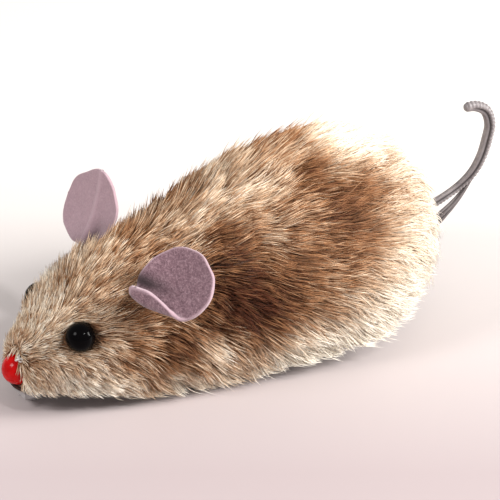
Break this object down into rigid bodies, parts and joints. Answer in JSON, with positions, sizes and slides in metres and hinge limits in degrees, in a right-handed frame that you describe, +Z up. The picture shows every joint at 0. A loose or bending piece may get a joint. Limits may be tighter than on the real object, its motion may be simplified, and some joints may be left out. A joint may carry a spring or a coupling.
{
  "type": "clockwork mouse",
  "caption": "Wind-up plush mouse: fur pelt over a shell and chassis, felt ears, bead eyes and nose, moulded curled tail, side key, spring motor driving two wheels.",
  "frame": {"origin": "point on the floor in the mid-plane of the mouse, 65.1 mm behind the front of the nose bead", "axes": "+Z up, nose towards -Y, tail towards +Y, +X to the left side of the mouse"},
  "size_m": [0.0646, 0.132, 0.0479],
  "materials": {
    "fur": "long pile plush",
    "felt": "felt",
    "eye_bead": "high gloss",
    "nose_bead": "high gloss",
    "nose_thread": "twisted nylon",
    "shell_plastic": "matt moulded",
    "chassis_plastic": "matt moulded",
    "tail_vinyl": "satin moulded",
    "wheel_plastic": "moulded",
    "tyre_rubber": "matt",
    "gear_plastic": "moulded acetal",
    "brass": "stamped",
    "steel": "bright",
    "spring_steel": "blued",
    "key_metal": "nickel plated"
  },
  "bodies": {
    "root": {"fur_cover": "fur", "left_ear": "felt", "right_ear": "felt", "left_eye": "eye_bead", "right_eye": "eye_bead", "nose_bead": "nose_bead", "nose_thread": "nose_thread", "tail": "tail_vinyl", "tail_retainer": "shell_plastic", "body_shell": "shell_plastic", "chassis": "chassis_plastic", "chassis_screws": "steel", "motor_plate_left": "steel", "motor_plate_right": "steel", "motor_pillars": "brass", "motor_screws": "steel", "mainspring": "spring_steel", "verge_pivot": "steel"},
    "drive": {"drive_axle": "steel", "left_wheel": "wheel_plastic", "right_wheel": "wheel_plastic", "left_tyre": "tyre_rubber", "right_tyre": "tyre_rubber", "axle_pinion": "gear_plastic", "governor_gear": "gear_plastic"},
    "second_train": {"second_arbor": "steel", "second_pinion": "gear_plastic", "second_gear": "gear_plastic"},
    "great_train": {"great_gear": "brass", "click": "steel", "click_rivet": "steel"},
    "winder": {"winding_arbor": "steel", "ratchet_wheel": "brass", "winding_key": "key_metal"},
    "star_train": {"star_arbor": "steel", "star_pinion": "gear_plastic", "star_wheel": "gear_plastic"},
    "verge": {"verge": "brass"}
  },
  "joints": [
    {"name": "drive_axle_spin", "type": "hinge", "parent": "root", "child": "drive", "pos_m": [0, 0.017, 0.01], "axis": [1, 0, 0], "continuous": true},
    {"name": "second_arbor_spin", "type": "hinge", "parent": "root", "child": "second_train", "pos_m": [0, 0.01539, 0.02189], "axis": [1, 0, 0], "continuous": true},
    {"name": "great_gear_spin", "type": "hinge", "parent": "root", "child": "great_train", "pos_m": [0, 0.00299, 0.01798], "axis": [1, 0, 0], "continuous": true},
    {"name": "star_spin", "type": "hinge", "parent": "root", "child": "star_train", "pos_m": [0, 0.02549, 0.01299], "axis": [1, 0, 0], "continuous": true},
    {"name": "key_turn", "type": "hinge", "parent": "great_train", "child": "winder", "pos_m": [0, 0.00299, 0.01798], "axis": [1, 0, 0], "continuous": true, "deforming": ["mainspring"]},
    {"name": "verge_rock", "type": "hinge", "parent": "root", "child": "verge", "pos_m": [0, 0.026, 0.022], "axis": [1, 0, 0], "range_deg": [-3, 3]}
  ],
  "couplings": [
    {"joint": "second_arbor_spin", "follows": "drive_axle_spin", "ratio": -0.33333},
    {"joint": "great_gear_spin", "follows": "drive_axle_spin", "ratio": 0.1},
    {"joint": "star_spin", "follows": "drive_axle_spin", "ratio": -2}
  ]
}
